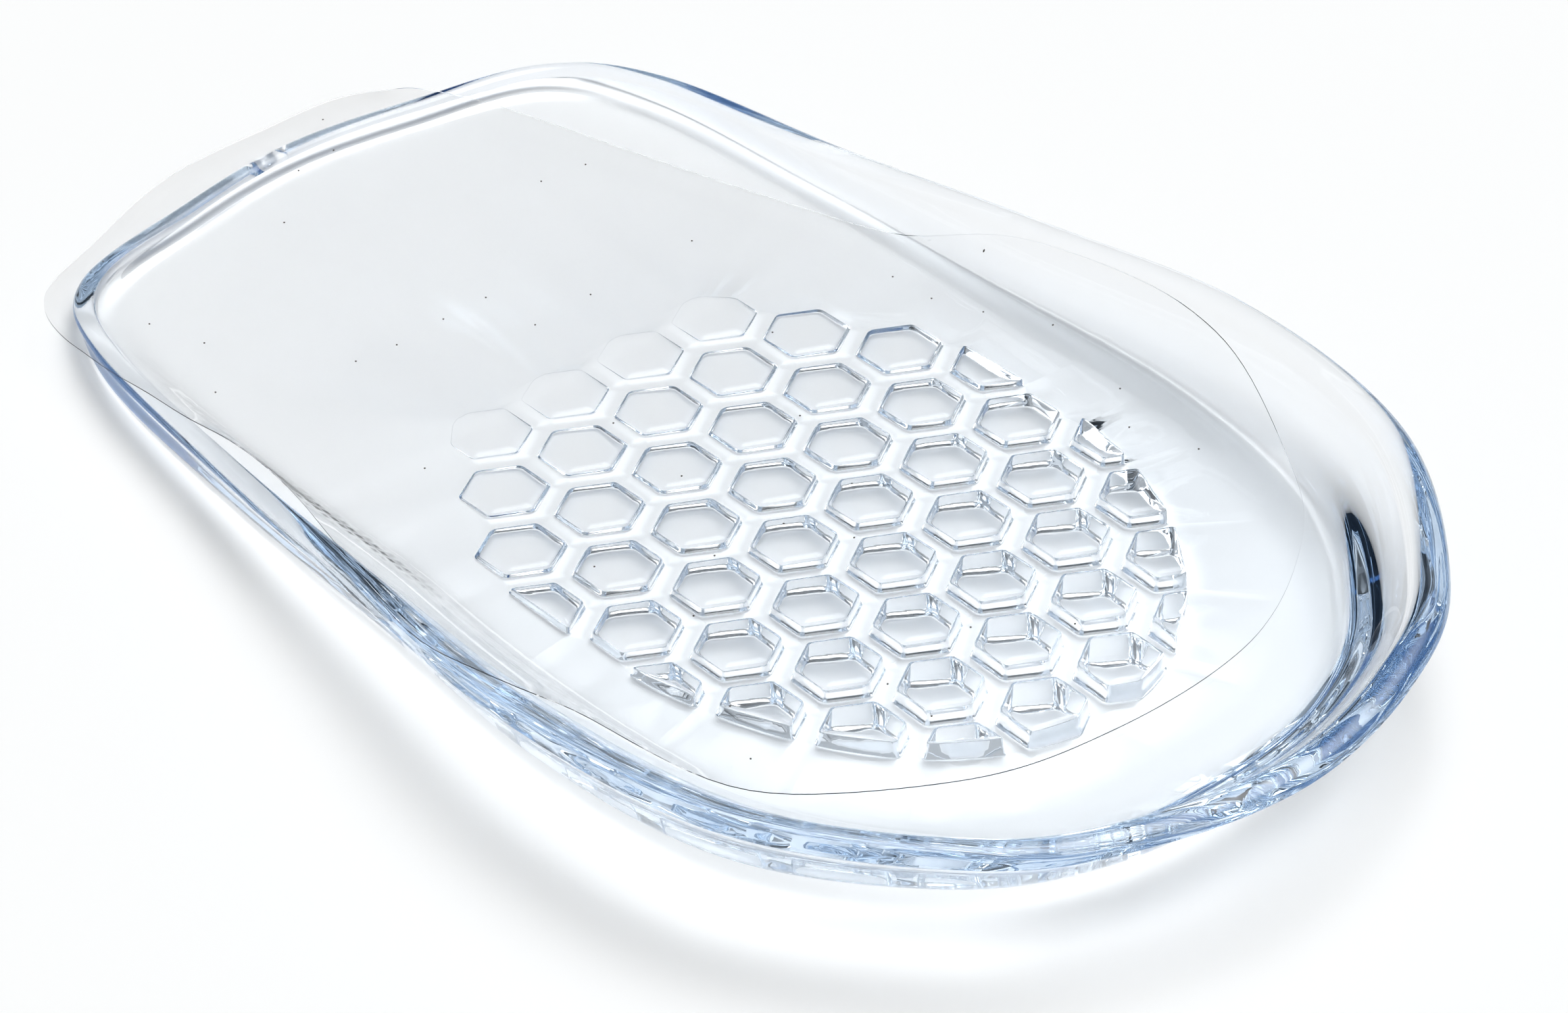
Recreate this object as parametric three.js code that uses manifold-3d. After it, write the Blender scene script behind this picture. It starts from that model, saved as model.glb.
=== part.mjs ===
// Heel cup of clear moulded gel with a loose clear cover film lying in it.
// Millimetres, +X towards the heel, +Y to one side, +Z up. The cup is made with its flat
// underside at Z 0, the middle of its length at X 0 and both sides alike about Y 0. At the
// end the two pieces are set together so that the origin is under the middle of the whole.
import * as THREE from 'three';
import { mergeVertices } from 'three/addons/utils/BufferGeometryUtils.js';
import Module from 'manifold-3d';

const wasm = await Module();
wasm.setup();

// Cup
const cupLength = 109;          // front edge to the back of the heel rim
const cupWidth = 70;            // across the rim where it is widest
const heelRimHeight = 9.2;      // underside to the top of the heel rim
const frontThickness = 2.0;     // sole at the front
const heelThickness = 5.0;      // sole under the heel
const frontLip = 1.7;           // thickness of the edge at the front
const heelLip = 2.8;            // thickness of the rim at the heel

// Honeycomb of pockets in the underside
const cellPitch = 7.2;          // from one row of cells to the next
const ribThickness = 1.53;      // gel left between two cells
const pocketFrontDepth = 0.2;   // depth where the pattern fades out
const pocketRoof = 1.9;         // gel left over the pockets at the heel end
const patternLength = 54.4;     // front line to heel end of the pattern
const patternWidth = 43.2;
const patternSetback = 17.8;    // heel rim to the heel end of the pattern
const lastCellSetback = 9.3;    // from there to the middle of the last whole cells
const patternRound = 29.2;      // length of the rounded heel end
const patternCorner = 9.5;      // length of the cut taken off each front corner
const patternCornerSlope = 0.9; // width of that cut over its length

// Gate nib left on the front edge
const nibWidth = 3.0;
const nibReach = 0.9;           // how far it stands out
const nibThickness = 1.0;
const nibOffset = -1.5;         // from the middle line

// Cover film
const filmLength = 98;
const filmWidth = 56;
const filmThickness = 0.25;
const filmSlip = 8.5;           // how far it has slid towards the front
const filmTurn = 11;            // degrees that it has turned in the cup
const filmGap = 0.45;           // clearance above the gel
const filmStiffness = 1.5;      // it bridges dips narrower than about twice this

// Outlines of one side, a row for each section from the middle of the front to the middle
// of the heel: rim is the outer edge, foot is where the floor starts to rise and base is the
// edge of the flat underside, each as a share of the cup's length and of half its width.
// rise is a share of what the rim gains in height from the front to the heel.
const sections = [
  { rim: [0.000, 0.000], rise: 0.00, foot: [0.020, 0.000], base: [0.006, 0.000] },
  { rim: [0.013, 0.314], rise: 0.00, foot: [0.032, 0.300], base: [0.019, 0.306] },
  { rim: [0.041, 0.639], rise: 0.02, foot: [0.064, 0.590], base: [0.050, 0.622] },
  { rim: [0.122, 0.786], rise: 0.17, foot: [0.140, 0.722], base: [0.131, 0.765] },
  { rim: [0.285, 0.866], rise: 0.33, foot: [0.292, 0.768], base: [0.290, 0.800] },
  { rim: [0.450, 0.936], rise: 0.62, foot: [0.455, 0.780], base: [0.456, 0.785] },
  { rim: [0.632, 1.000], rise: 0.91, foot: [0.622, 0.776], base: [0.620, 0.780] },
  { rim: [0.800, 0.918], rise: 1.00, foot: [0.775, 0.680], base: [0.762, 0.722] },
  { rim: [0.925, 0.632], rise: 1.00, foot: [0.878, 0.464], base: [0.863, 0.520] },
  { rim: [0.978, 0.345], rise: 1.00, foot: [0.926, 0.243], base: [0.909, 0.283] },
  { rim: [1.000, 0.000], rise: 1.00, foot: [0.934, 0.000], base: [0.916, 0.000] },
];
const columnsPerSection = 5;    // how finely the skin is divided
const floorRings = 4;
const wallRings = 6;
const lipRings = 4;
const filmColumns = 64;
const filmRings = 14;

const alongX = (share) => (share - 0.5) * cupLength;
const acrossY = (share) => share * cupWidth / 2;

// The sole thickens from the front to the heel in one smooth swell.
const swellStart = 0.22;        // shares of the cup's length
const swellEnd = 0.78;
const floorHeight = (x) => THREE.MathUtils.lerp(frontThickness, heelThickness,
  THREE.MathUtils.smoothstep(x, alongX(swellStart), alongX(swellEnd)));

// One closed smooth curve through a point of every section, down one side and up the other.
function closedCurve(pointOf) {
  const half = sections.map(pointOf);
  const other = half.slice(1, -1).reverse();
  const side = (points, sign) => points.map((p) => new THREE.Vector3(p.x, sign * p.y, p.z));
  return new THREE.CatmullRomCurve3([...side(half, -1), ...side(other, 1)], true, 'catmullrom', 0.5);
}

const rimHeight = (row) => THREE.MathUtils.lerp(frontThickness, heelRimHeight, row.rise);
const place = ([along, across], z) => new THREE.Vector3(alongX(along), acrossY(across), z);
const rimCurve = closedCurve((row) => place(row.rim, rimHeight(row)));
const footCurve = closedCurve((row) => place(row.foot, 0));
const baseCurve = closedCurve((row) => place(row.base, 0));
const columns = columnsPerSection * 2 * (sections.length - 1);

// Shapes of the walls, as shares of the way across them: where each curve's handles stand.
const insideHandles = { foot: 0.45, lip: 0.75 };
const outsideHandles = { lip: 0.55, base: 0.30 };
const crownShare = 0.3;         // how far the rim's rounded top stands up, over its thickness

// The points of one column, from the middle of the floor, up the inside, over the rim and
// down the outside to the flat underside. Both walls are curves that leave the floor level.
function columnPoints(t) {
  const rim = rimCurve.getPoint(t);
  const foot = footCurve.getPoint(t);
  const base = baseCurve.getPoint(t);
  foot.z = floorHeight(foot.x);
  const between = (a, b, share) => new THREE.Vector3().lerpVectors(a, b, share);
  const tallness = (rim.z - frontThickness) / (heelRimHeight - frontThickness);
  const lip = THREE.MathUtils.lerp(frontLip, heelLip, tallness);
  const crown = crownShare * lip;
  const inward = foot.clone().sub(rim).setZ(0).normalize();
  const lipOutside = rim.clone().setZ(rim.z - crown);
  const lipInside = rim.clone().setZ(Math.max(rim.z, foot.z) - crown).addScaledVector(inward, lip);
  const floor = Array.from({ length: floorRings - 1 }, (_, i) => {
    const spoke = foot.clone().multiplyScalar((i + 1) / floorRings);
    return spoke.setZ(floorHeight(spoke.x));
  });
  const inside = new THREE.CubicBezierCurve3(foot, between(foot, lipInside, insideHandles.foot).setZ(foot.z),
    between(foot, lipInside, insideHandles.lip), lipInside);
  const top = Array.from({ length: lipRings - 1 }, (_, i) => {
    const turn = Math.PI * (i + 1) / lipRings;
    const point = between(lipInside, lipOutside, (1 - Math.cos(turn)) / 2);
    return point.setZ(point.z + crown * Math.sin(turn));
  });
  const outside = new THREE.CubicBezierCurve3(lipOutside, between(lipOutside, base, outsideHandles.lip),
    between(lipOutside, base, outsideHandles.base).setZ(0), base);
  return [...floor, ...inside.getPoints(wallRings), ...top, ...outside.getPoints(wallRings)];
}

// A closed skin over columns of points, with one pole in the middle above and one below.
function skin(grid, topPole, bottomPole) {
  const rings = grid[0].length;
  const positions = grid.flat().flatMap((p) => [p.x, p.y, p.z]);
  const top = grid.length * rings;
  const bottom = top + 1;
  positions.push(topPole.x, topPole.y, topPole.z, bottomPole.x, bottomPole.y, bottomPole.z);
  const index = [];
  grid.forEach((column, i) => {
    const a = i * rings;
    const b = ((i + 1) % grid.length) * rings;
    index.push(top, a, b);
    for (let j = 0; j < rings - 1; j++) {
      index.push(a + j, a + j + 1, b + j + 1, a + j, b + j + 1, b + j);
    }
    index.push(bottom, b + rings - 1, a + rings - 1);
  });
  const geometry = new THREE.BufferGeometry();
  geometry.setAttribute('position', new THREE.Float32BufferAttribute(positions, 3));
  geometry.setIndex(index);
  return geometry;
}

function solidOf(geometry) {
  const bare = geometry.clone();
  bare.deleteAttribute('normal');
  bare.deleteAttribute('uv');
  const merged = mergeVertices(bare);
  return new wasm.Manifold(new wasm.Mesh({
    numProp: 3,
    vertProperties: new Float32Array(merged.attributes.position.array),
    triVerts: new Uint32Array(merged.index.array),
  }));
}

function geometryOf(solid) {
  const mesh = solid.getMesh();
  const geometry = new THREE.BufferGeometry();
  geometry.setAttribute('position', new THREE.BufferAttribute(mesh.vertProperties, 3));
  geometry.setIndex(new THREE.BufferAttribute(mesh.triVerts, 1));
  return geometry;
}

// Place of the pattern along the cup.
const patternHeel = cupLength / 2 - patternSetback;
const patternFront = patternHeel - patternLength;
const pocketHeelDepth = heelThickness - pocketRoof;
const below = 1;                // how far the cutters start under the sole
const ceiling = (x) => THREE.MathUtils.lerp(pocketFrontDepth, pocketHeelDepth,
  (x - patternFront) / patternLength);

// Half width of the pattern at x: a cut corner at the front, straight, then an ellipse.
function patternHalfWidth(x) {
  const half = patternWidth / 2;
  const past = Math.max(0, x - (patternHeel - patternRound)) / patternRound;
  const corner = Math.min(1, (x - patternFront) / patternCorner);
  const cut = patternCornerSlope * patternCorner * (1 - corner);
  return (half - cut) * Math.sqrt(Math.max(0, 1 - past * past));
}

// The space that the pockets may take, with a ceiling that climbs towards the heel.
function patternWedge() {
  const arcSteps = 28;
  const shoulder = patternHeel - patternRound;
  const corner = patternFront + patternCorner;
  const arc = Array.from({ length: arcSteps + 1 }, (_, i) => {
    const turn = Math.PI * (i / arcSteps - 0.5);
    return new THREE.Vector2(shoulder + patternRound * Math.cos(turn), patternWidth / 2 * Math.sin(turn));
  });
  const outline = new THREE.Shape([
    new THREE.Vector2(patternFront, -patternHalfWidth(patternFront)),
    new THREE.Vector2(corner, -patternHalfWidth(corner)),
    ...arc,
    new THREE.Vector2(corner, patternHalfWidth(corner)),
    new THREE.Vector2(patternFront, patternHalfWidth(patternFront)),
  ]);
  const geometry = new THREE.ExtrudeGeometry(outline, { depth: 1, bevelEnabled: false });
  const position = geometry.attributes.position;
  for (let i = 0; i < position.count; i++) {
    position.setZ(i, position.getZ(i) > 0.5 ? ceiling(position.getX(i)) : -below);
  }
  return solidOf(geometry);
}

// Hexagonal cells in rows across the cup, a corner of each pointing to the heel. A cell cut
// by the outline is kept where at least two of its corners are inside.
function cells() {
  const radius = (cellPitch - ribThickness) / Math.sqrt(3);
  const rowStep = cellPitch * Math.sqrt(3) / 2;
  const corners = Array.from({ length: 6 }, (_, k) =>
    new THREE.Vector2(Math.cos(k * Math.PI / 3), Math.sin(k * Math.PI / 3)).multiplyScalar(radius));
  const inPattern = (p) => p.x > patternFront && p.x < patternHeel && Math.abs(p.y) < patternHalfWidth(p.x);
  const lastRow = patternHeel - lastCellSetback;
  const rowsBehind = Math.ceil(lastCellSetback / rowStep);
  const rowsAhead = Math.ceil(patternLength / rowStep);
  const cellsEachSide = Math.ceil(patternWidth / 2 / cellPitch) + 1;
  const prisms = [];
  for (let row = -rowsAhead; row <= rowsBehind; row++) {
    const shift = row % 2 === 0 ? 0 : cellPitch / 2;
    for (let cell = -cellsEachSide; cell <= cellsEachSide; cell++) {
      const centre = new THREE.Vector2(lastRow + row * rowStep, cell * cellPitch + shift);
      const hexagon = corners.map((corner) => corner.clone().add(centre));
      if (hexagon.filter(inPattern).length < 2) continue;
      const depth = pocketHeelDepth + 2 * below;
      const geometry = new THREE.ExtrudeGeometry(new THREE.Shape(hexagon), { depth, bevelEnabled: false });
      prisms.push(solidOf(geometry.translate(0, 0, -2 * below)));
    }
  }
  return prisms.reduce((all, prism) => all.add(prism));
}

// A small block rooted in the front edge, halfway up it.
function nib() {
  const rooted = 2 * nibReach;
  const geometry = new THREE.BoxGeometry(nibReach + rooted, nibWidth, nibThickness);
  geometry.translate(alongX(0) + (rooted - nibReach) / 2, nibOffset, frontThickness / 2);
  return solidOf(geometry);
}

function gelCup() {
  const grid = Array.from({ length: columns }, (_, i) => columnPoints(i / columns));
  const shell = skin(grid, new THREE.Vector3(0, 0, floorHeight(0)), new THREE.Vector3(0, 0, 0));
  const solid = solidOf(shell).add(nib()).subtract(cells().intersect(patternWedge()));
  return geometryOf(solid);
}

// Outline of the film: the rim's own outline at the film's size, turned and slid.
function filmOutline(t) {
  const turn = THREE.MathUtils.degToRad(filmTurn);
  const rim = rimCurve.getPoint(t);
  const point = new THREE.Vector2(rim.x * filmLength / cupLength, rim.y * filmWidth / cupWidth);
  return point.rotateAround(new THREE.Vector2(0, 0), turn).add(new THREE.Vector2(-filmSlip, 0));
}

// The film lies on the gel below it, ring by ring from its middle, and bridges small dips.
// What hangs past the edge stays level with the front of the sole.
function coverFilm(cup) {
  const caster = new THREE.Raycaster();
  const down = new THREE.Vector3(0, 0, -1);
  const gelHeight = (x, y) => {
    caster.set(new THREE.Vector3(x, y, 2 * heelRimHeight), down);
    return caster.intersectObject(cup)[0]?.point.z ?? frontThickness;
  };
  const heightAt = (x, y) => filmGap + Math.max(gelHeight(x, y),
    gelHeight(x - filmStiffness, y), gelHeight(x + filmStiffness, y),
    gelHeight(x, y - filmStiffness), gelHeight(x, y + filmStiffness));
  const grid = Array.from({ length: filmColumns }, (_, i) => {
    const outline = filmOutline(i / filmColumns);
    const under = Array.from({ length: filmRings }, (_, j) => {
      const share = (j + 1) / filmRings;
      const x = THREE.MathUtils.lerp(-filmSlip, outline.x, share);
      const y = outline.y * share;
      return new THREE.Vector3(x, y, heightAt(x, y));
    });
    const over = under.map((p) => new THREE.Vector3(p.x, p.y, p.z + filmThickness));
    return [...over, ...under.reverse()];
  });
  const middle = new THREE.Vector3(-filmSlip, 0, heightAt(-filmSlip, 0));
  return skin(grid, middle.clone().setZ(middle.z + filmThickness), middle);
}

const gel = new THREE.MeshStandardMaterial({
  name: 'clear gel', color: 0xe4edf7, roughness: 0.12, metalness: 0,
});
const film = new THREE.MeshStandardMaterial({
  name: 'clear film', color: 0xf4f7fa, roughness: 0.05, metalness: 0,
});

const cup = new THREE.Mesh(gelCup(), gel);
cup.name = 'gel_cup';
const cover = new THREE.Mesh(coverFilm(cup), film);
cover.name = 'cover_film';

const heelCup = new THREE.Group();
heelCup.add(cup, cover);
const whole = new THREE.Box3().setFromObject(heelCup);
const middle = whole.getCenter(new THREE.Vector3());
heelCup.position.set(-middle.x, -middle.y, -whole.min.z);
export default heelCup;
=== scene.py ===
import math

import bmesh
import bpy
import numpy as np
from mathutils import Matrix, Vector, geometry


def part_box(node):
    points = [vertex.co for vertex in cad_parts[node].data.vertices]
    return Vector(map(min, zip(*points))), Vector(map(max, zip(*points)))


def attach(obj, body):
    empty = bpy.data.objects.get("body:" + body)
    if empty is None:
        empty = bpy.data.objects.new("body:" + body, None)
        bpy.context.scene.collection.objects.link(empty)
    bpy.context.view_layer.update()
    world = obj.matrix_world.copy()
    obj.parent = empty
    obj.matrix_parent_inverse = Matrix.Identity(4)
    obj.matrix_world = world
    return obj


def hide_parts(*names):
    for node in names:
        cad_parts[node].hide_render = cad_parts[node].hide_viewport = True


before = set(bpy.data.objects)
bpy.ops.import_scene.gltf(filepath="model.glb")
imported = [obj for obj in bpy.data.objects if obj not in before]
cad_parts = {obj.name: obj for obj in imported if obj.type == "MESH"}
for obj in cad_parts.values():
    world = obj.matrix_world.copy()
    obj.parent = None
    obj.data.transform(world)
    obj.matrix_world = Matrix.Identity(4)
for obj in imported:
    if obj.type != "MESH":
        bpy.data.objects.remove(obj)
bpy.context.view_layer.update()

# A clear gel heel cup lying on a pale floor, with its loose cover film in it.
# Metres, +X towards the heel, +Y to one side, +Z up. The cup's length and width come from the
# frame's box, and the other sizes are set below.
print("frame loaded, nodes:", sorted(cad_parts))

mm = 0.001


def linearFromHex(hexColour):  # sRGB hex to the linear values that the shaders use
    channels = [int(hexColour[i:i + 2], 16) / 255 for i in (1, 3, 5)]
    return tuple(c / 12.92 if c <= 0.04045 else ((c + 0.055) / 1.055) ** 2.4 for c in channels) + (1.0,)


def addNode(tree, kind, settings=None, links=None):
    # adds one node; settings names its properties or sockets, links gives the output for a socket
    node = tree.nodes.new(kind)
    for name, value in (settings or {}).items():
        if name in node.inputs:
            node.inputs[name].default_value = value
        else:
            setattr(node, name, value)
    for name, output in (links or {}).items():
        tree.links.new(output, node.inputs[name])
    return node


def emptyMaterial(name):  # a new material with no nodes in it
    material = bpy.data.materials.new(name)
    material.use_nodes = True
    material.node_tree.nodes.clear()
    return material


def meshObject(name, vertices, faces, sharpAngle=None):
    # puts arrays into a mesh object; the corners sharper than sharpAngle stay crisp
    mesh = bpy.data.meshes.new(name)
    mesh.from_pydata(vertices.tolist(), [], faces)
    mesh.update()
    mesh.shade_smooth()
    if sharpAngle is not None:
        mesh.set_sharp_from_angle(angle=math.radians(sharpAngle))
    obj = bpy.data.objects.new(name, mesh)
    bpy.context.scene.collection.objects.link(obj)
    return obj


def gridFaces(columns, rings, start=0):
    # quads over a closed grid of columns by rings, each column stored ring after ring
    i = np.arange(columns)[:, None]
    j = np.arange(rings - 1)[None, :]
    a = start + i * rings + j
    b = start + ((i + 1) % columns) * rings + j
    return np.stack([a, a + 1, b + 1, b], axis=-1).reshape(-1, 4).tolist()


def fanFaces(columns, rings, ring, centre, start=0):
    # triangles from one ring of the grid to its centre point; the last ring faces the other way
    i = np.arange(columns)
    here = start + i * rings + ring
    following = start + ((i + 1) % columns) * rings + ring
    if ring > 0:
        here, following = following, here
    return np.stack([np.full(columns, centre), here, following], axis=-1).tolist()


def periodicCurve(points, count):
    # Catmull-Rom curve through a closed row of points, count samples evenly shared among them
    points = np.asarray(points, float)
    t = np.arange(count) * len(points) / count
    i = np.floor(t).astype(int)
    u = (t - i)[:, None]
    p0, p1, p2, p3 = (points[(i + k) % len(points)] for k in (-1, 0, 1, 2))
    return 0.5 * (2 * p1 + (p2 - p0) * u + (2 * p0 - 5 * p1 + 4 * p2 - p3) * u ** 2
                  + (3 * p1 - p0 - 3 * p2 + p3) * u ** 3)


def smoothStep(x, low, high):
    # eases from 0 at low to 1 at high: three squares less two cubes of the share between them
    t = np.clip((x - low) / (high - low), 0, 1)
    return t * t * (3 - 2 * t)


# Gel cup
cup = {
    "frontThickness": 2.0 * mm,     # sole at the front
    "heelThickness": 5.0 * mm,      # sole under the heel
    "frontLip": 1.7 * mm,           # edge at the front
    "heelLip": 2.8 * mm,            # rim at the heel
    "heelRimHeight": 9.2 * mm,
    "crownShare": 0.3,              # rounding of the rim's top over its thickness
    "swell": (0.22, 0.78),          # where the sole thickens, shares of the length
    "insideHandles": (0.45, 0.75),  # where the inner wall's curve bends, shares of the way up
    "outsideHandles": (0.55, 0.30),  # and the outer wall's, below the lip and at the underside
    "nibReach": 0.9 * mm,           # gate nib on the front edge
    "nibWidth": 3.0 * mm,
    "nibThickness": 1.0 * mm,
    "nibOffset": -1.5 * mm,
    "nibFade": (0.6, 1.5),          # where it rounds off upwards, shares of its thickness
    "weld": 0.0002 * mm,            # points nearer than this become one
    "crispAngle": 50,               # degrees, sharper corners stay crisp
    "columns": 400,
    "floorRings": 22,
    "wallRings": 22,
    "lipRings": 10,
}

# Half outline from the middle of the front to the middle of the heel: rim, rise of the rim,
# foot of the inner wall and edge of the flat underside, as shares of length and half width.
# At the heel the underside's edge is drawn up to 4.3 mm further in than the solid part has it,
# to bring the blue arc that it makes in the gel nearer to its place.
sectionColumns = ("rimAlong", "rimAcross", "rise", "footAlong", "footAcross", "baseAlong", "baseAcross")
sections = np.array([
    (0.000, 0.000, 0.00, 0.020, 0.000, 0.006, 0.000),
    (0.013, 0.314, 0.00, 0.032, 0.300, 0.019, 0.306),
    (0.041, 0.639, 0.02, 0.064, 0.590, 0.050, 0.622),
    (0.122, 0.786, 0.17, 0.140, 0.722, 0.131, 0.765),
    (0.285, 0.866, 0.33, 0.292, 0.768, 0.290, 0.800),
    (0.450, 0.936, 0.62, 0.455, 0.780, 0.456, 0.785),
    (0.632, 1.000, 0.91, 0.622, 0.776, 0.620, 0.780),
    (0.800, 0.918, 1.00, 0.775, 0.680, 0.740, 0.700),
    (0.925, 0.632, 1.00, 0.878, 0.464, 0.828, 0.490),
    (0.978, 0.345, 1.00, 0.926, 0.243, 0.871, 0.262),
    (1.000, 0.000, 1.00, 0.934, 0.000, 0.877, 0.000),
])
row = {name: sections[:, k] for k, name in enumerate(sectionColumns)}

cupLow, cupHigh = (np.array(corner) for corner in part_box("gel_cup"))
cupLength = cupHigh[0] - cupLow[0] - cup["nibReach"]
cupWidth = cupHigh[1] - cupLow[1]
cupMiddle = np.array([cupHigh[0] - cupLength / 2, (cupLow[1] + cupHigh[1]) / 2, 0.0])


def alongX(share):  # share of the length from the front to the place on X
    return (share - 0.5) * cupLength


def floorHeight(x):
    # the floor's height rises from the front thickness to the heel thickness along a smooth step
    return cup["frontThickness"] + (cup["heelThickness"] - cup["frontThickness"]) * smoothStep(
        x, alongX(cup["swell"][0]), alongX(cup["swell"][1]))


def sectionCurve(along, across, height, count):
    # mirrors the half outline and runs one closed smooth curve through it
    half = np.stack([alongX(along), -across * cupWidth / 2, height], axis=-1)
    other = half[-2:0:-1] * np.array([1, -1, 1])
    return periodicCurve(np.concatenate([half, other]), count)


def rimCurve(count):
    # the rim's top runs from the front thickness up to the heel rim's height
    rimHeight = cup["frontThickness"] + (cup["heelRimHeight"] - cup["frontThickness"]) * row["rise"]
    return sectionCurve(row["rimAlong"], row["rimAcross"], rimHeight, count)


def bezier(a, b, c, d, count):
    # cubic curve from a to d for every column at once, count + 1 points
    t = np.linspace(0, 1, count + 1)[None, :, None]
    a, b, c, d = (p[:, None, :] for p in (a, b, c, d))
    return a * (1 - t) ** 3 + 3 * b * t * (1 - t) ** 2 + 3 * c * t ** 2 * (1 - t) + d * t ** 3


def cupColumns():
    # every column of the cup: floor spokes, inner wall as a cubic that leaves the floor level,
    # half an oval over the rim, outer wall as a cubic that meets the underside level
    count = cup["columns"]
    flat = np.zeros(len(sections))
    rim = rimCurve(count)
    foot = sectionCurve(row["footAlong"], row["footAcross"], flat, count)
    base = sectionCurve(row["baseAlong"], row["baseAcross"], flat, count)
    foot[:, 2] = floorHeight(foot[:, 0])
    tallness = (rim[:, 2:] - cup["frontThickness"]) / (cup["heelRimHeight"] - cup["frontThickness"])
    lip = cup["frontLip"] + (cup["heelLip"] - cup["frontLip"]) * tallness
    crown = cup["crownShare"] * lip
    inward = (foot - rim) * np.array([1, 1, 0])
    inward /= np.linalg.norm(inward, axis=1, keepdims=True)
    lipOutside = rim.copy()
    lipOutside[:, 2:] -= crown
    lipInside = rim + inward * lip
    lipInside[:, 2:] = np.maximum(rim[:, 2:], foot[:, 2:]) - crown

    spokes = np.linspace(0, 1, cup["floorRings"] + 1)[1:-1, None]
    floor = foot[:, None, :] * spokes
    floor[:, :, 2] = floorHeight(floor[:, :, 0])
    nearFoot = foot + (lipInside - foot) * cup["insideHandles"][0] * np.array([1, 1, 0])
    nearLip = foot + (lipInside - foot) * cup["insideHandles"][1]
    inside = bezier(foot, nearFoot, nearLip, lipInside, cup["wallRings"])
    turn = (np.pi * np.arange(1, cup["lipRings"]) / cup["lipRings"])[None, :, None]
    top = lipInside[:, None] + (lipOutside - lipInside)[:, None] * (1 - np.cos(turn)) / 2
    top[:, :, 2:] += crown[:, None] * np.sin(turn)
    belowLip = lipOutside + (base - lipOutside) * cup["outsideHandles"][0]
    nearBase = lipOutside + (base - lipOutside) * cup["outsideHandles"][1]
    nearBase[:, 2] = 0
    outside = bezier(lipOutside, belowLip, nearBase, base, cup["wallRings"])
    # the gate nib: a low round bump drawn out of the front edge
    across = (outside[:, :, 1] - cup["nibOffset"]) / (cup["nibWidth"] / 2)
    upwards = outside[:, :, 2] / cup["nibThickness"]
    bump = np.sqrt(np.clip(1 - across ** 2, 0, 1)) * (1 - smoothStep(upwards, *cup["nibFade"]))
    outside[:, :, 0] -= cup["nibReach"] * bump * (outside[:, :, 0] < 0)
    return np.concatenate([floor, inside, top, outside], axis=1)


# Honeycomb of pockets in the underside
honeycomb = {
    "cellPitch": 7.2 * mm,
    "ribThickness": 1.53 * mm,
    "leastDepth": 0.015 * mm,       # the pockets fade out towards the front
    "fade": 1.5 * mm,               # how far they go on at that depth
    "roof": 1.9 * mm,               # gel over the pockets at the heel end
    "length": 54.4 * mm,
    "width": 43.2 * mm,
    "setback": 17.8 * mm,           # heel rim to the heel end of the pattern
    "lastCellSetback": 9.3 * mm,
    "heelRound": 29.2 * mm,
    "corner": 9.5 * mm,             # length of the cut at the front corners
    "cornerSlope": 0.9,
    "leastCell": 0.27,              # cut cells smaller than this share of a whole one are left out
    "cornerRadius": 0.35 * mm,      # rounding of the cells' corners in plan
    "mouthRadius": 0.18 * mm,       # rounding where a pocket opens
    "ceilingRadius": 0.3 * mm,      # rounding where its wall meets the ceiling
    "draft": 0.06,                  # how much the walls lean in, width over height
    "ceilingRim": 0.35,             # width of the ring round a ceiling's middle, share of its reach
    "shortestSide": 0.12 * mm,      # shorter sides of a cut cell are dropped
    "cellsEachSide": 5,
    "rowsBehind": 2,                # rows behind the last whole one
}
patternHeel = cupLength / 2 - honeycomb["setback"]
patternFront = patternHeel - honeycomb["length"]
pocketHeelDepth = cup["heelThickness"] - honeycomb["roof"]


def pocketDepth(x):
    # depth grows evenly from nothing at the pattern's front to the most at its heel end
    return np.maximum(pocketHeelDepth * (x - patternFront) / honeycomb["length"], honeycomb["leastDepth"])


def patternOutline(steps=48):
    # cut corners at the front, straight sides, half an oval at the heel
    half = honeycomb["width"] / 2
    front = patternFront - honeycomb["fade"]
    cut = (honeycomb["corner"] + honeycomb["fade"]) * honeycomb["cornerSlope"]
    turn = np.linspace(-np.pi / 2, np.pi / 2, steps + 1)
    shoulder = patternHeel - honeycomb["heelRound"]
    oval = np.stack([shoulder + honeycomb["heelRound"] * np.cos(turn), half * np.sin(turn)], axis=-1)
    corner = patternFront + honeycomb["corner"]
    start = [(front, cut - half), (corner, -half)]
    end = [(corner, half), (front, half - cut)]
    return np.concatenate([start, oval, end])


def clipPolygon(polygon, clip):
    # keeps the part of a polygon to the left of every edge of a convex outline
    for a, b in zip(clip, np.roll(clip, -1, axis=0)):
        if len(polygon) == 0:
            break
        edge = b - a
        side = edge[0] * (polygon[:, 1] - a[1]) - edge[1] * (polygon[:, 0] - a[0])
        before, sideBefore = np.roll(polygon, 1, axis=0), np.roll(side, 1)
        crossing = (sideBefore < 0) != (side < 0)
        share = sideBefore / np.where(crossing, sideBefore - side, 1)
        cut = before + (polygon - before) * share[:, None]
        kept = np.stack([crossing, side >= 0], axis=1).ravel()
        polygon = np.stack([cut, polygon], axis=1).reshape(-1, 2)[kept]
    return polygon


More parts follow.
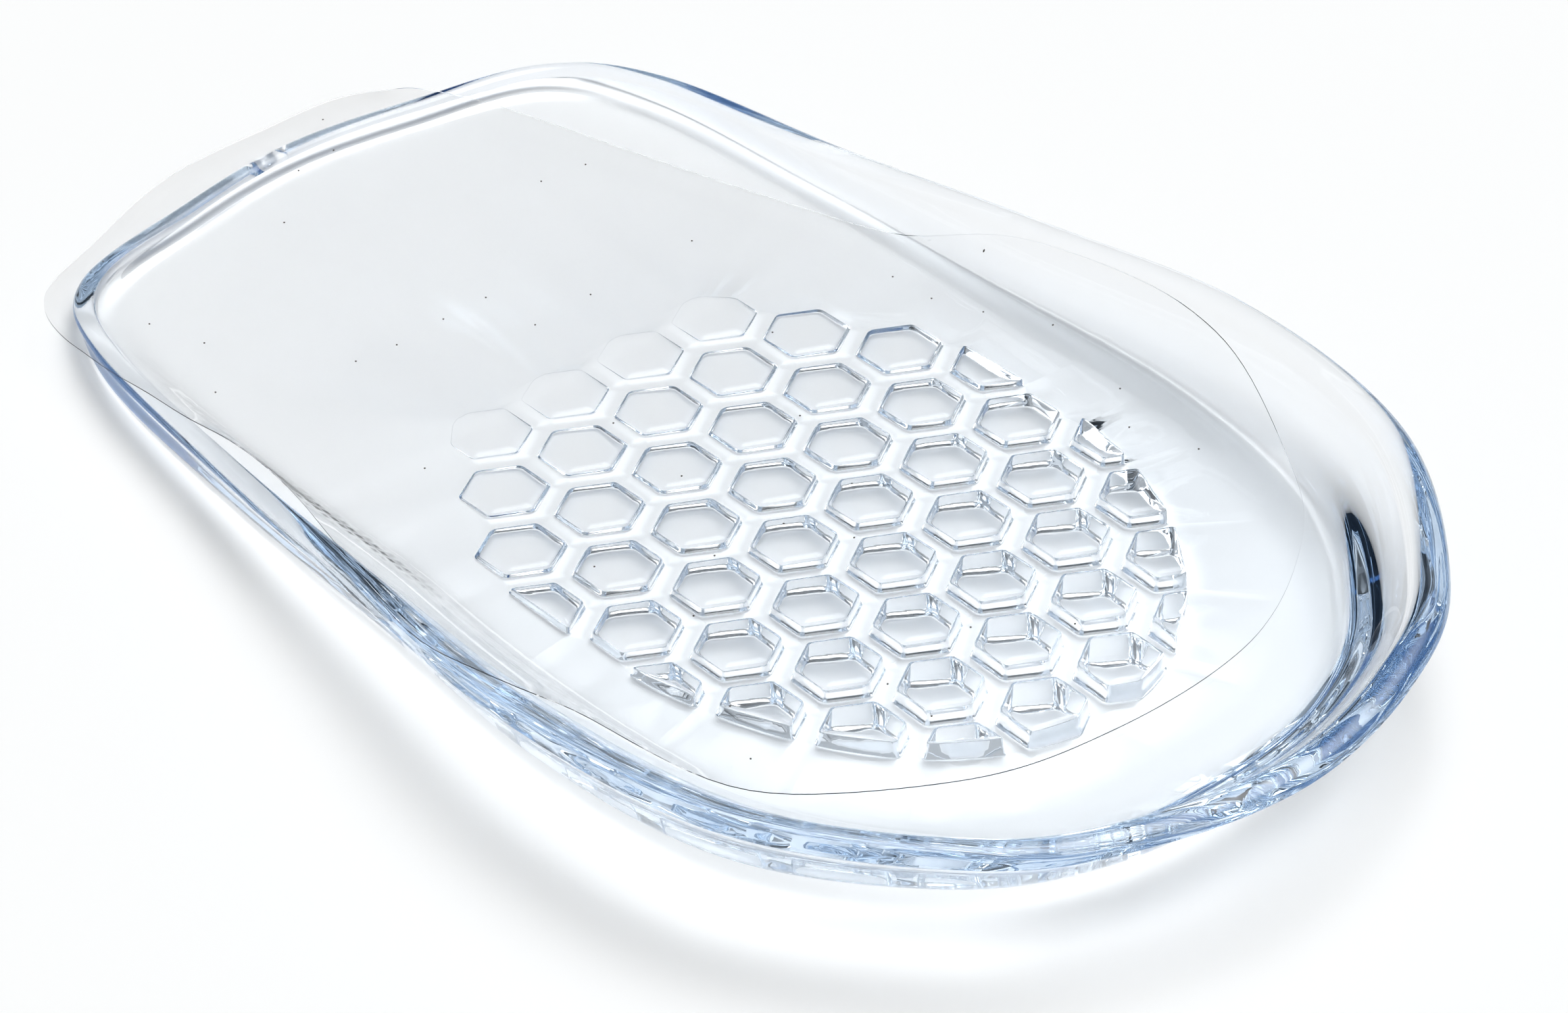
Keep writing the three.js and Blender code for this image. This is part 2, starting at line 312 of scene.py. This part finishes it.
def roundedLoop(polygon, radius, steps=4):
    # each corner becomes a short parabola between points one radius back along its edges
    before = np.roll(polygon, 1, axis=0) - polygon
    after = np.roll(polygon, -1, axis=0) - polygon
    lengthBefore = np.linalg.norm(before, axis=1, keepdims=True)
    lengthAfter = np.linalg.norm(after, axis=1, keepdims=True)
    start = polygon + before / lengthBefore * np.minimum(radius, 0.4 * lengthBefore)
    end = polygon + after / lengthAfter * np.minimum(radius, 0.4 * lengthAfter)
    t = np.linspace(0, 1, steps + 1)[None, :, None]
    points = start[:, None] * (1 - t) ** 2 + 2 * polygon[:, None] * t * (1 - t) + end[:, None] * t ** 2
    return points.reshape(-1, 2)


def cellLoops():
    # hexagons in rows across the cup, a corner of each to the heel, cut by the pattern's outline
    pitch = honeycomb["cellPitch"]
    radius = (pitch - honeycomb["ribThickness"]) / math.sqrt(3)
    rowStep = pitch * math.sqrt(3) / 2
    turn = np.arange(6) * np.pi / 3
    hexagon = radius * np.stack([np.cos(turn), np.sin(turn)], axis=-1)
    outline = patternOutline()
    lastRow = patternHeel - honeycomb["lastCellSetback"]
    loops = []
    for r in range(-math.ceil(honeycomb["length"] / rowStep), honeycomb["rowsBehind"] + 1):
        for c in range(-honeycomb["cellsEachSide"], honeycomb["cellsEachSide"] + 1):
            centre = np.array([lastRow + r * rowStep, c * pitch + (pitch / 2 if r % 2 else 0)])
            cell = clipPolygon(hexagon + centre, outline)
            if len(cell) < 3:
                continue
            x, y = cell.T
            area = abs(np.dot(x, np.roll(y, -1)) - np.dot(y, np.roll(x, -1))) / 2
            if area > honeycomb["leastCell"] * 1.5 * math.sqrt(3) * radius ** 2:
                sides = np.linalg.norm(np.roll(cell, -1, axis=0) - cell, axis=1)
                cell = cell[sides > honeycomb["shortestSide"]]
                loops.append(roundedLoop(cell, honeycomb["cornerRadius"]))
    return loops


def pocketSkin(loop):
    # carries a profile round the loop: rounded mouth, leaning wall, rounded ceiling, flat middle
    centre = loop.mean(axis=0)
    away = loop - centre
    reach = np.linalg.norm(away, axis=1, keepdims=True)
    depth = pocketDepth(loop[:, :1])
    mouth = np.minimum(honeycomb["mouthRadius"], 0.4 * depth)
    ceiling = np.minimum(honeycomb["ceilingRadius"], 0.4 * depth)
    lean = honeycomb["draft"] * depth
    rings = []
    for turn in np.linspace(0, np.pi / 2, 4):
        rings.append((mouth * (1 - np.sin(turn)), mouth * (1 - np.cos(turn))))
    rings.append((-lean / 2, (mouth + depth - ceiling) / 2))
    for turn in np.linspace(0, np.pi / 2, 5):
        rings.append((-lean - ceiling * (1 - np.cos(turn)), depth - ceiling * (1 - np.sin(turn))))
    rings.append((-lean - honeycomb["ceilingRim"] * (reach - lean), depth))
    points = [np.concatenate([loop + away / reach * out, high], axis=1) for out, high in rings]
    middle = np.array([[centre[0], centre[1], pocketDepth(centre[0])]])
    return np.stack(points, axis=1), middle


def undersideFill(outer, loops):
    # the flat face between the edge of the underside and the pockets' mouths
    points = np.concatenate([outer] + loops)
    edges = []
    for loop in [outer] + loops:
        n = len(loop)
        k = np.arange(n)
        edges += (len(edges) + np.stack([k, (k + 1) % n], axis=1)).tolist()
    corners = [Vector(p) for p in (points / mm).tolist()]
    found = geometry.delaunay_2d_cdt(corners, edges, [], 1, 1e-5)
    vertices, faces = np.array([tuple(v) for v in found[0]]) * mm, np.array(found[2])
    centres = vertices[faces].mean(axis=1)
    inPocket = np.zeros(len(faces), bool)
    for loop in loops:  # inside a loop that turns left means left of all its edges
        edge = np.roll(loop, -1, axis=0) - loop
        away = centres[:, None] - loop[None]
        inPocket |= np.all(edge[:, 0] * away[:, :, 1] - edge[:, 1] * away[:, :, 0] > 0, axis=1)
    return vertices, faces[~inPocket]


def makeGelCup():
    # the columns' grid closed at the floor's middle, a skin for each pocket, and the flat
    # underside between them, sewn into one body
    columns = cupColumns()
    count, rings = columns.shape[:2]
    pole = count * rings
    vertices = [columns.reshape(-1, 3), np.array([[0, 0, floorHeight(0.0)]])]
    faces = gridFaces(count, rings) + fanFaces(count, rings, 0, pole)
    start = pole + 1
    mouths = []
    for loop in cellLoops():
        skin, middle = pocketSkin(loop)
        n, depthRings = skin.shape[:2]
        mouths.append(skin[:, 0, :2])
        vertices += [skin.reshape(-1, 3), middle]
        top = start + n * depthRings
        faces += gridFaces(n, depthRings, start) + fanFaces(n, depthRings, depthRings - 1, top, start)
        start = top + 1
    flat, flatFaces = undersideFill(columns[:, -1, :2], mouths)
    vertices.append(np.concatenate([flat, np.zeros((len(flat), 1))], axis=1))
    faces += (flatFaces + start).tolist()
    obj = meshObject("gelCup", np.concatenate(vertices) + cupMiddle, faces)
    sealed = bmesh.new()
    sealed.from_mesh(obj.data)
    bmesh.ops.remove_doubles(sealed, verts=sealed.verts, dist=cup["weld"])
    bmesh.ops.recalc_face_normals(sealed, faces=sealed.faces)
    loose = sum(not e.is_manifold for e in sealed.edges)
    print("gel cup: pockets", len(mouths), "open edges", loose, "faces", len(sealed.faces))
    sealed.to_mesh(obj.data)
    sealed.free()
    obj.data.shade_smooth()
    obj.data.set_sharp_from_angle(angle=math.radians(cup["crispAngle"]))
    return obj


gelCup = makeGelCup()
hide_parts("gel_cup")
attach(gelCup, "root")

# Cover film
film = {
    "length": 98 * mm,
    "width": 56 * mm,
    "thickness": 0.08 * mm,
    "slip": 8.5 * mm,               # slid towards the front
    "turn": 11.0,                   # degrees
    "nearWiden": 0.31,              # the near side is cut wider by this share
    "widenFrom": -0.22,             # where that begins, shares of the length from the middle
    "widenTo": 0.10,
    "gap": 0.35 * mm,               # air between the gel and the film
    "stiffness": 1.5 * mm,          # how far round a point the gel holds it up
    "smoothings": 3,
    "crispAngle": 40,
    "columns": 240,
    "rings": 40,
}


def topHeight(plan):
    # height of the gel's upper face: the column in each point's direction, mixed from its two
    # neighbours, then the height at the point's distance along that column
    columns = cupColumns()[:, :-cup["wallRings"]]
    count = len(columns)
    angles = np.unwrap(np.arctan2(columns[:, -1, 1], columns[:, -1, 0]))
    angles = np.append(angles, angles[0] + 2 * np.pi)
    around = (np.arctan2(plan[:, 1], plan[:, 0]) - angles[0]) % (2 * np.pi) + angles[0]
    place = np.interp(around, angles, np.arange(count + 1))
    first = np.floor(place).astype(int) % count
    share = (place % 1)[:, None, None]
    profile = columns[first] * (1 - share) + columns[(first + 1) % count] * share
    distances, heights = np.linalg.norm(profile[:, :, :2], axis=2), profile[:, :, 2]
    distance = np.linalg.norm(plan, axis=1)
    k = np.clip((distances < distance[:, None]).sum(axis=1), 1, distances.shape[1] - 1)
    n = np.arange(len(plan))
    along = np.clip((distance - distances[n, k - 1]) / (distances[n, k] - distances[n, k - 1]), 0, 1)
    return heights[n, k - 1] * (1 - along) + heights[n, k] * along


def makeCoverFilm():
    # the rim's outline at the film's size, turned and slid, in rings from its middle; the
    # height of each point is that of the gel below it, taken over a small neighbourhood
    outline = rimCurve(film["columns"])[:, :2]
    outline *= np.array([film["length"] / cupLength, film["width"] / cupWidth])
    spread = smoothStep(outline[:, 0] / film["length"], film["widenFrom"], film["widenTo"])
    outline[:, 1] *= 1 + film["nearWiden"] * spread * (outline[:, 1] < 0)
    turn = math.radians(film["turn"])
    outline = outline @ np.array([[math.cos(turn), math.sin(turn)], [-math.sin(turn), math.cos(turn)]])
    share = (np.arange(film["rings"]) + 1)[None, :, None] / film["rings"]
    plan = outline[:, None] * share + np.array([-film["slip"], 0])
    plan = np.concatenate([plan.reshape(-1, 2), [[-film["slip"], 0]]])
    reach = film["stiffness"]
    steps = np.array([(0, 0), (reach, 0), (-reach, 0), (0, reach), (0, -reach)])
    height = np.max([topHeight(plan + step) for step in steps], axis=0) + film["gap"]
    count, rings = film["columns"], film["rings"]
    grid = height[:-1].reshape(count, rings)
    for _ in range(film["smoothings"]):  # a stiff film has no sharp dips
        grid[:, 1:-1] = (grid[:, :-2] + 2 * grid[:, 1:-1] + grid[:, 2:]) / 4
        grid = (np.roll(grid, 1, axis=0) + 2 * grid + np.roll(grid, -1, axis=0)) / 4
    under = np.concatenate([plan[:-1].reshape(count, rings, 2), grid[:, :, None]], axis=2)
    over = under + np.array([0, 0, film["thickness"]])
    skin = np.concatenate([over, under[:, ::-1]], axis=1)  # out along the top, back along the underside
    middle = np.array([[-film["slip"], 0, height[-1] + film["thickness"]],
                       [-film["slip"], 0, height[-1]]])
    pole = count * 2 * rings
    faces = gridFaces(count, 2 * rings) + fanFaces(count, 2 * rings, 0, pole)
    faces += fanFaces(count, 2 * rings, 2 * rings - 1, pole + 1)
    vertices = np.concatenate([skin.reshape(-1, 3), middle]) + cupMiddle
    return meshObject("coverFilm", vertices, faces, film["crispAngle"])


coverFilm = makeCoverFilm()
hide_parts("cover_film")
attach(coverFilm, "root")
print("cover film made")


# Clear TPE gel, injection moulded: water clear in thin walls, blue where light runs far in it
gelFinish = {
    "ior": 1.43,
    "roughness": 0.0,
    "absorbs": "#3cabe4",           # colour that white light takes on along its way
    "density": 12.0,                # per metre
}


def gelMaterial():
    # clear, smooth surface over a body that takes the red out first
    material = emptyMaterial("clearTpeGel")
    tree = material.node_tree
    glass = addNode(tree, "ShaderNodeBsdfPrincipled", {
        "Base Color": (1, 1, 1, 1), "Roughness": gelFinish["roughness"], "IOR": gelFinish["ior"],
        "Transmission Weight": 1.0})
    volume = addNode(tree, "ShaderNodeVolumeAbsorption", {
        "Color": linearFromHex(gelFinish["absorbs"]), "Density": gelFinish["density"]})
    addNode(tree, "ShaderNodeOutputMaterial", links={
        "Surface": glass.outputs[0], "Volume": volume.outputs[0]})
    return material


# PET film, calendered: colourless, glossy on both faces, with a little dust lying on it
filmFinish = {
    "ior": 1.3,
    "dust": "#4b443e",
    "dustSpacing": 4.5 * mm,
    "dustSize": 0.07 * mm,          # radius of a speck
    "dustShare": 0.22,              # how many of the places hold one
}


def filmMaterial():
    # clear, smooth surface mixed with dull specks
    material = emptyMaterial("clearPetFilm")
    tree = material.node_tree
    glass = addNode(tree, "ShaderNodeBsdfPrincipled", {
        "Base Color": (1, 1, 1, 1), "Roughness": 0.0, "IOR": filmFinish["ior"],
        "Transmission Weight": 1.0})
    dust = addNode(tree, "ShaderNodeBsdfPrincipled", {
        "Base Color": linearFromHex(filmFinish["dust"]), "Roughness": 0.9})
    place = addNode(tree, "ShaderNodeTexCoord")
    cells = addNode(tree, "ShaderNodeTexVoronoi", {
        "voronoi_dimensions": "2D", "Scale": 1 / filmFinish["dustSpacing"]},
        {"Vector": place.outputs["Object"]})
    # a speck where the distance to the cell's point is small, in the cells whose random red is low
    small = addNode(tree, "ShaderNodeMath", {"operation": "LESS_THAN"})
    tree.links.new(cells.outputs["Distance"], small.inputs[0])
    small.inputs[1].default_value = filmFinish["dustSize"] / filmFinish["dustSpacing"]
    pick = addNode(tree, "ShaderNodeSeparateColor", links={"Color": cells.outputs["Color"]})
    held = addNode(tree, "ShaderNodeMath", {"operation": "LESS_THAN"})
    tree.links.new(pick.outputs["Red"], held.inputs[0])
    held.inputs[1].default_value = filmFinish["dustShare"]
    speck = addNode(tree, "ShaderNodeMath", {"operation": "MULTIPLY"})
    tree.links.new(small.outputs[0], speck.inputs[0])
    tree.links.new(held.outputs[0], speck.inputs[1])
    skin = addNode(tree, "ShaderNodeMixShader", links={"Fac": speck.outputs[0]})
    tree.links.new(glass.outputs[0], skin.inputs[1])
    tree.links.new(dust.outputs[0], skin.inputs[2])
    addNode(tree, "ShaderNodeOutputMaterial", links={"Surface": skin.outputs[0]})
    return material


gelCup.data.materials.append(gelMaterial())
coverFilm.data.materials.append(filmMaterial())
print("materials made")

# Studio: a pale matt floor in a tent that is white overhead, dark grey low down all round, and
# has one brighter patch high on the far side
studio = {
    "floor": "#fafafa",
    "floorSize": 3.0,
    "contact": -0.02 * mm,          # a hair of air stays between the gel and the floor
    "low": "#30353a",               # colour of the tent low down
    "high": "#feffff",              # and overhead
    "strength": 0.555,
    "brightSide": (0.3, -0.2, 1.0),
    "rise": (0.2, 0.6),             # cosines from that side between which it brightens
    "lampSide": (-0.25, 0.65, 1.1),
    "lampGlow": 6.2,
    "lampEdge": (0.88, 0.992),      # cosines where the patch starts and where it is full
}


def makeStudio():
    # the floor, then the tent as the world's colour: dark to white by the cosine from the bright
    # side, its strength raised by a second cosine towards the patch
    size = studio["floorSize"] / 2
    corners = [(-size, -size, 0), (size, -size, 0), (size, size, 0), (-size, size, 0)]
    floor = meshObject("floor", np.array(corners) + np.array([0, 0, studio["contact"]]), [(0, 1, 2, 3)])
    material = emptyMaterial("paleFloor")
    tree = material.node_tree
    matte = addNode(tree, "ShaderNodeBsdfPrincipled", {
        "Base Color": linearFromHex(studio["floor"]), "Roughness": 0.8})
    addNode(tree, "ShaderNodeOutputMaterial", links={"Surface": matte.outputs[0]})
    floor.data.materials.append(material)
    world = bpy.data.worlds.new("tent")
    bpy.context.scene.world = world
    world.use_nodes = True
    tree = world.node_tree
    tree.nodes.clear()
    place = addNode(tree, "ShaderNodeTexCoord")
    shares = []
    for side, edge in (("brightSide", "rise"), ("lampSide", "lampEdge")):
        towards = addNode(tree, "ShaderNodeVectorMath", {"operation": "DOT_PRODUCT"})
        tree.links.new(place.outputs["Generated"], towards.inputs[0])
        towards.inputs[1].default_value = Vector(studio[side]).normalized()
        shares.append(addNode(tree, "ShaderNodeMapRange", {
            "interpolation_type": "SMOOTHSTEP", "From Min": studio[edge][0], "From Max": studio[edge][1]},
            {"Value": towards.outputs["Value"]}).outputs[0])
    cloth = addNode(tree, "ShaderNodeMixRGB", {
        "Color1": linearFromHex(studio["low"]), "Color2": linearFromHex(studio["high"])},
        {"Fac": shares[0]})
    lamp = addNode(tree, "ShaderNodeMath", {"operation": "MULTIPLY"})
    tree.links.new(shares[1], lamp.inputs[0])
    lamp.inputs[1].default_value = studio["lampGlow"]
    total = addNode(tree, "ShaderNodeMath", {"operation": "ADD"})
    tree.links.new(lamp.outputs[0], total.inputs[0])
    total.inputs[1].default_value = studio["strength"]
    light = addNode(tree, "ShaderNodeBackground", links={
        "Color": cloth.outputs[0], "Strength": total.outputs[0]})
    addNode(tree, "ShaderNodeOutputWorld", links={"Surface": light.outputs[0]})


makeStudio()

# Camera at the photograph's angle, a long lens
camera = {
    "azimuth": 47.7,                # degrees from the side towards the heel
    "elevation": 38.2,
    "roll": 0.86,
    "distance": 0.3819,             # metres from the point looked at
    "lookAt": (0.00515, -0.0003, 0.0012),
    "lens": 123.8,
    "sensor": 36.0,
}


def makeCamera():
    # stands back from the point looked at by the two angles and turns by the roll about its view
    azimuth, elevation, roll = (math.radians(camera[k]) for k in ("azimuth", "elevation", "roll"))
    back = Vector((math.sin(azimuth) * math.cos(elevation), -math.cos(azimuth) * math.cos(elevation),
                   math.sin(elevation)))
    right = Vector((math.cos(azimuth), math.sin(azimuth), 0))
    up = back.cross(right)
    turned = right * math.cos(roll) + up * math.sin(roll)
    up = back.cross(turned)
    data = bpy.data.cameras.new("camera")
    data.lens = camera["lens"]
    data.sensor_width = camera["sensor"]
    data.clip_start = 0.01
    obj = bpy.data.objects.new("camera", data)
    obj.matrix_world = Matrix.Translation(Vector(camera["lookAt"]) + back * camera["distance"]) @ Matrix(
        (turned, up, back)).transposed().to_4x4()
    bpy.context.scene.collection.objects.link(obj)
    bpy.context.scene.camera = obj


makeCamera()
scene = bpy.context.scene
scene.view_settings.view_transform = "Standard"
scene.cycles.use_denoising = True
scene.cycles.blur_glossy = 0    # keeps the light that comes down through the gel
scene.cycles.max_bounces = 48
scene.cycles.diffuse_bounces = 8
scene.cycles.glossy_bounces = 40    # light is thrown from face to face along the sole
scene.cycles.transmission_bounces = 40
scene.cycles.transparent_max_bounces = 24
print("studio and camera made")
